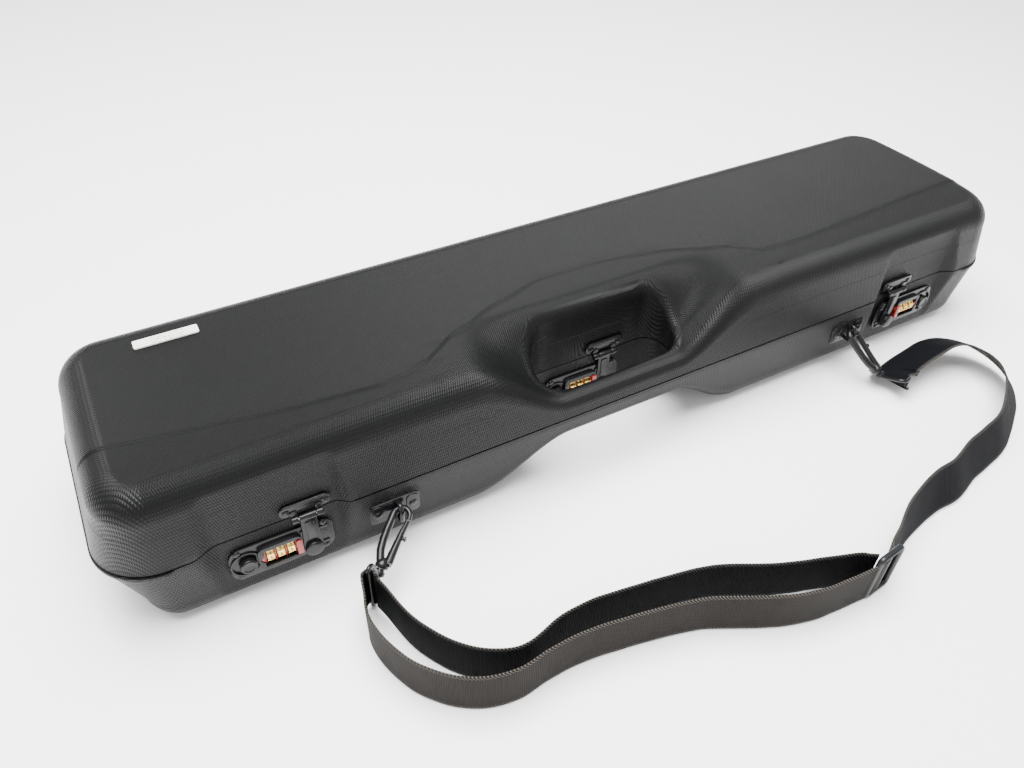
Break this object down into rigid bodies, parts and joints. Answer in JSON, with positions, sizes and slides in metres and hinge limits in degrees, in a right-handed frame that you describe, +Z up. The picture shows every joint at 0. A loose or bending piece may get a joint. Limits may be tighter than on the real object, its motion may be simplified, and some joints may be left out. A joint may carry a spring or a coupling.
{
  "type": "fishing rod travel case",
  "caption": "Long moulded plastic travel case for fly rods, with a carry-grip cut-out, combination latches, foam lining and a clip-on webbing shoulder strap.",
  "frame": {"origin": "centre of the case's footprint on the surface it lies on, with the strap left out", "axes": "+X along the case to the right as seen from the handle side, -Y towards the handle and latches, +Z up through the lid"},
  "size_m": [0.8384, 0.4073, 0.1291],
  "materials": {
    "case_shell": "embossed fine diamond grain, slightly glossy black",
    "black_metal": "gloss black plated",
    "pin_steel": "plain",
    "brass_dial": "polished",
    "red_plastic": "gloss",
    "foam": "charcoal foam with a velour face",
    "label": "matt",
    "webbing": "ribbed woven webbing, dark inner face",
    "slider_plastic": "satin"
  },
  "bodies": {
    "case_base": {"base_shell": "case_shell", "foam_rear_rail": "foam", "foam_middle_rail": "foam", "foam_front_rail": "foam", "foam_left_block": "foam", "foam_right_block": "foam", "hinge_1_base_leaf": "black_metal", "hinge_1_pin": "pin_steel", "hinge_2_base_leaf": "black_metal", "hinge_2_pin": "pin_steel", "hinge_3_base_leaf": "black_metal", "hinge_3_pin": "pin_steel", "left_lock_plate": "black_metal", "left_window_insert": "red_plastic", "left_dial_spindle": "pin_steel", "centre_lock_plate": "black_metal", "centre_window_insert": "red_plastic", "centre_dial_spindle": "pin_steel", "right_lock_plate": "black_metal", "right_window_insert": "red_plastic", "right_dial_spindle": "pin_steel", "left_strap_bracket": "black_metal", "right_strap_bracket": "black_metal", "strap_left_run": "webbing", "strap_return_run": "webbing", "strap_right_run": "webbing", "strap_slider": "slider_plastic"},
    "case_lid": {"lid_shell": "case_shell", "lid_foam": "foam", "blank_label": "label", "hinge_1_lid_leaf": "black_metal", "hinge_2_lid_leaf": "black_metal", "hinge_3_lid_leaf": "black_metal", "left_hasp_bracket": "black_metal", "left_hasp_pin": "pin_steel", "centre_hasp_bracket": "black_metal", "centre_hasp_pin": "pin_steel", "right_hasp_bracket": "black_metal", "right_hasp_pin": "pin_steel"},
    "left_hasp": {"left_hasp_tongue": "black_metal"},
    "left_button": {"left_slide_button": "black_metal"},
    "left_wheel_1": {"left_dial_1": "brass_dial"},
    "left_wheel_2": {"left_dial_2": "brass_dial"},
    "left_wheel_3": {"left_dial_3": "brass_dial"},
    "centre_hasp": {"centre_hasp_tongue": "black_metal"},
    "centre_button": {"centre_slide_button": "black_metal"},
    "centre_wheel_1": {"centre_dial_1": "brass_dial"},
    "centre_wheel_2": {"centre_dial_2": "brass_dial"},
    "centre_wheel_3": {"centre_dial_3": "brass_dial"},
    "right_hasp": {"right_hasp_tongue": "black_metal"},
    "right_button": {"right_slide_button": "black_metal"},
    "right_wheel_1": {"right_dial_1": "brass_dial"},
    "right_wheel_2": {"right_dial_2": "brass_dial"},
    "right_wheel_3": {"right_dial_3": "brass_dial"},
    "left_hook": {"left_snap_hook": "black_metal"},
    "left_gate": {"left_hook_gate": "black_metal"},
    "left_swivel": {"left_swivel_eye": "black_metal"},
    "right_hook": {"right_snap_hook": "black_metal"},
    "right_gate": {"right_hook_gate": "black_metal"},
    "right_swivel": {"right_swivel_eye": "black_metal"}
  },
  "joints": [
    {"name": "lid_hinge", "type": "hinge", "parent": "case_base", "child": "case_lid", "pos_m": [0, 0.1043, 0.065], "axis": [-1, 0, 0], "range_deg": [0, 175]},
    {"name": "left_hasp_hinge", "type": "hinge", "parent": "case_lid", "child": "left_hasp", "pos_m": [-0.2844, -0.0932, 0.0645], "axis": [-1, 0, 0], "range_deg": [0, 115]},
    {"name": "left_button_slide", "type": "slide", "parent": "case_base", "child": "left_button", "axis": [-1, 0, 0], "range_m": [0, 0.0045], "stiffness_N_per_m": 160, "springref_m": -0.002},
    {"name": "left_dial_1_spin", "type": "hinge", "parent": "case_base", "child": "left_wheel_1", "pos_m": [-0.3143, -0.0889, 0.0387], "axis": [1, 0, 0], "continuous": true},
    {"name": "left_dial_2_spin", "type": "hinge", "parent": "case_base", "child": "left_wheel_2", "pos_m": [-0.307, -0.0889, 0.0387], "axis": [1, 0, 0], "continuous": true},
    {"name": "left_dial_3_spin", "type": "hinge", "parent": "case_base", "child": "left_wheel_3", "pos_m": [-0.2997, -0.0889, 0.0387], "axis": [1, 0, 0], "continuous": true},
    {"name": "centre_hasp_hinge", "type": "hinge", "parent": "case_lid", "child": "centre_hasp", "pos_m": [-0.0084, -0.0424, 0.0645], "axis": [-1, 0, 0], "range_deg": [0, 45]},
    {"name": "centre_button_slide", "type": "slide", "parent": "case_base", "child": "centre_button", "axis": [-1, 0, 0], "range_m": [0, 0.0045], "stiffness_N_per_m": 160, "springref_m": -0.002},
    {"name": "centre_dial_1_spin", "type": "hinge", "parent": "case_base", "child": "centre_wheel_1", "pos_m": [-0.0383, -0.0381, 0.0387], "axis": [1, 0, 0], "continuous": true},
    {"name": "centre_dial_2_spin", "type": "hinge", "parent": "case_base", "child": "centre_wheel_2", "pos_m": [-0.031, -0.0381, 0.0387], "axis": [1, 0, 0], "continuous": true},
    {"name": "centre_dial_3_spin", "type": "hinge", "parent": "case_base", "child": "centre_wheel_3", "pos_m": [-0.0237, -0.0381, 0.0387], "axis": [1, 0, 0], "continuous": true},
    {"name": "right_hasp_hinge", "type": "hinge", "parent": "case_lid", "child": "right_hasp", "pos_m": [0.2844, -0.0932, 0.0645], "axis": [-1, 0, 0], "range_deg": [0, 115]},
    {"name": "right_button_slide", "type": "slide", "parent": "case_base", "child": "right_button", "axis": [1, 0, 0], "range_m": [0, 0.0045], "stiffness_N_per_m": 160, "springref_m": -0.002},
    {"name": "right_dial_1_spin", "type": "hinge", "parent": "case_base", "child": "right_wheel_1", "pos_m": [0.3143, -0.0889, 0.0387], "axis": [1, 0, 0], "continuous": true},
    {"name": "right_dial_2_spin", "type": "hinge", "parent": "case_base", "child": "right_wheel_2", "pos_m": [0.307, -0.0889, 0.0387], "axis": [1, 0, 0], "continuous": true},
    {"name": "right_dial_3_spin", "type": "hinge", "parent": "case_base", "child": "right_wheel_3", "pos_m": [0.2997, -0.0889, 0.0387], "axis": [1, 0, 0], "continuous": true},
    {"name": "left_hook_lift", "type": "hinge", "parent": "case_base", "child": "left_hook", "pos_m": [-0.222, -0.1063, 0.0435], "axis": [-1, 0, 0], "range_deg": [0, 45], "deforming": ["strap_left_run", "strap_return_run"]},
    {"name": "left_gate_spring", "type": "hinge", "parent": "left_hook", "child": "left_gate", "pos_m": [-0.24134, -0.13105, 0.02964], "axis": [-0.3094, -0.2689, 0.9121], "range_deg": [0, 14], "stiffness_Nm_per_rad": 0.01, "springref_deg": -20.05},
    {"name": "left_eye_swivel", "type": "hinge", "parent": "left_hook", "child": "left_swivel", "pos_m": [-0.24982, -0.13047, 0.02694], "axis": [0.6885, 0.5983, 0.41], "range_deg": [-12, 12]},
    {"name": "right_hook_lift", "type": "hinge", "parent": "case_base", "child": "right_hook", "pos_m": [0.224, -0.1063, 0.0435], "axis": [-1, 0, 0], "range_deg": [0, 45], "deforming": ["strap_right_run"]},
    {"name": "right_gate_spring", "type": "hinge", "parent": "right_hook", "child": "right_gate", "pos_m": [0.23784, -0.12966, 0.0225], "axis": [0.1908, -0.5914, 0.7835], "range_deg": [0, 14], "stiffness_Nm_per_rad": 0.01, "springref_deg": -20.05},
    {"name": "right_eye_swivel", "type": "hinge", "parent": "right_hook", "child": "right_swivel", "pos_m": [0.23372, -0.13642, 0.0184], "axis": [-0.2405, 0.7457, 0.6214], "range_deg": [-12, 12]}
  ]
}
